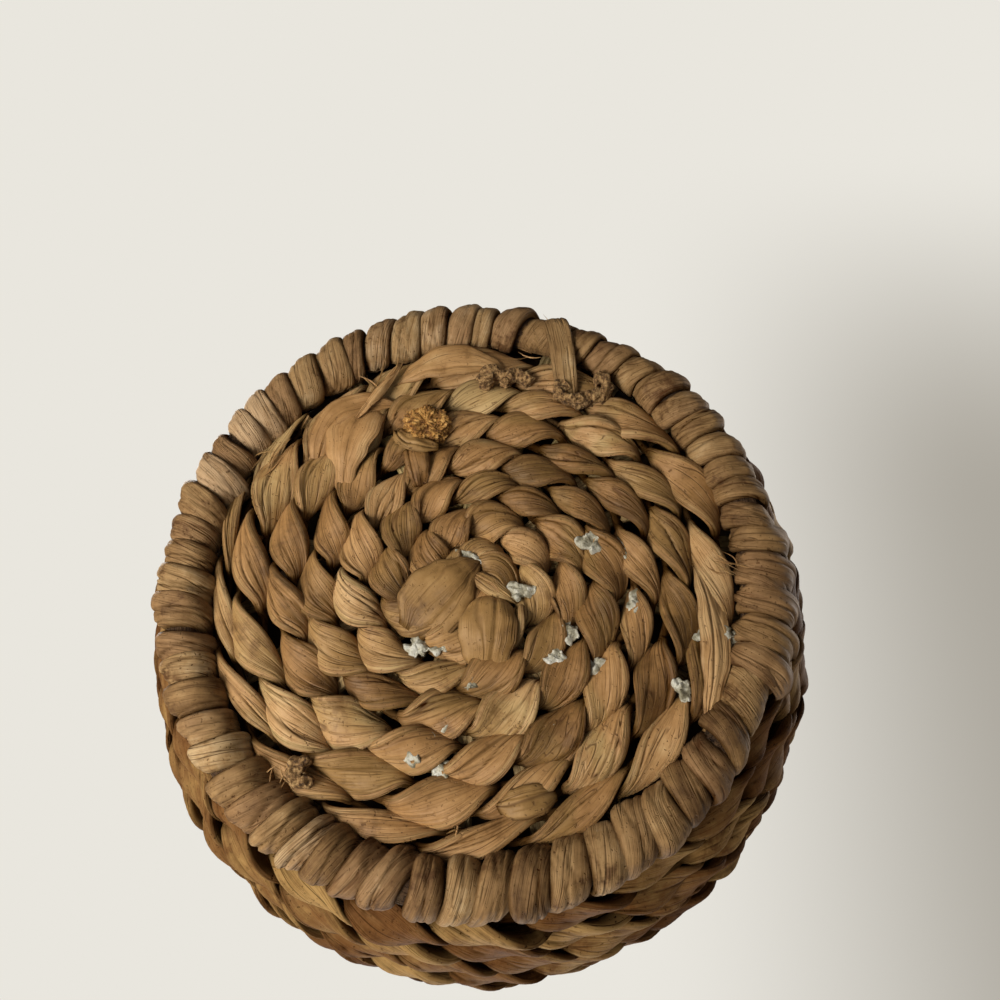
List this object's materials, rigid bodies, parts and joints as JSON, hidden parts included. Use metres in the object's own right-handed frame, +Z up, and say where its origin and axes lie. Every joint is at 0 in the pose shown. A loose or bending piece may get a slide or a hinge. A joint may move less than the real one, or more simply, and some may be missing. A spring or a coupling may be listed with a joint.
{
  "type": "woven pitcher vase",
  "caption": "Pitcher-shaped vase of twined plant stems over a liner, with a wrapped foot ring, spout and loop handle.",
  "frame": {"origin": "middle of the bounding box, at the height of the surface that the foot ring stands on", "axes": "+Z up along the vase's axis, +X towards the spout, -X towards the handle"},
  "size_m": [0.2612, 0.2188, 0.3031],
  "materials": {
    "foot_strip": "matte",
    "stem_core": "matte",
    "base_weave": "matte",
    "stake_rib": "matte",
    "liner_plastic": "matte",
    "wall_weave": "matte",
    "rim_strip": "matte",
    "handle_strip": "matte",
    "leaf": "matte",
    "cut_pith": "matte",
    "dried_adhesive": "satin"
  },
  "bodies": {
    "root": {"foot_wrap_1": "foot_strip", "foot_wrap_2": "foot_strip", "foot_wrap_3": "foot_strip", "foot_lash_strap": "foot_strip", "foot_wide_strap": "foot_strip", "foot_ring_core": "stem_core", "handle_core": "stem_core", "base_weave": "base_weave", "stake_01": "stake_rib", "stake_02": "stake_rib", "stake_03": "stake_rib", "stake_04": "stake_rib", "stake_05": "stake_rib", "stake_06": "stake_rib", "stake_07": "stake_rib", "stake_08": "stake_rib", "stake_09": "stake_rib", "stake_10": "stake_rib", "stake_11": "stake_rib", "stake_12": "stake_rib", "stake_13": "stake_rib", "stake_14": "stake_rib", "stake_15": "stake_rib", "stake_16": "stake_rib", "stake_17": "stake_rib", "stake_18": "stake_rib", "stake_19": "stake_rib", "stake_20": "stake_rib", "stake_21": "stake_rib", "stake_22": "stake_rib", "liner": "liner_plastic", "wall_weave_lower": "wall_weave", "wall_weave_middle": "wall_weave", "wall_weave_upper": "wall_weave", "rim_hoop": "rim_strip", "handle_wrap": "handle_strip", "handle_lashing_top": "handle_strip", "handle_lashing_foot": "handle_strip", "fan_leaf": "leaf", "knob_leaf": "leaf", "folded_leaf": "leaf", "golden_stub": "cut_pith", "curled_end_1": "cut_pith", "curled_end_2": "cut_pith", "dark_stub": "cut_pith", "adhesive_bead_1": "dried_adhesive", "adhesive_bead_2": "dried_adhesive", "adhesive_bead_3": "dried_adhesive", "adhesive_bead_4": "dried_adhesive", "adhesive_bead_5": "dried_adhesive", "adhesive_bead_6": "dried_adhesive"}
  },
  "joints": []
}
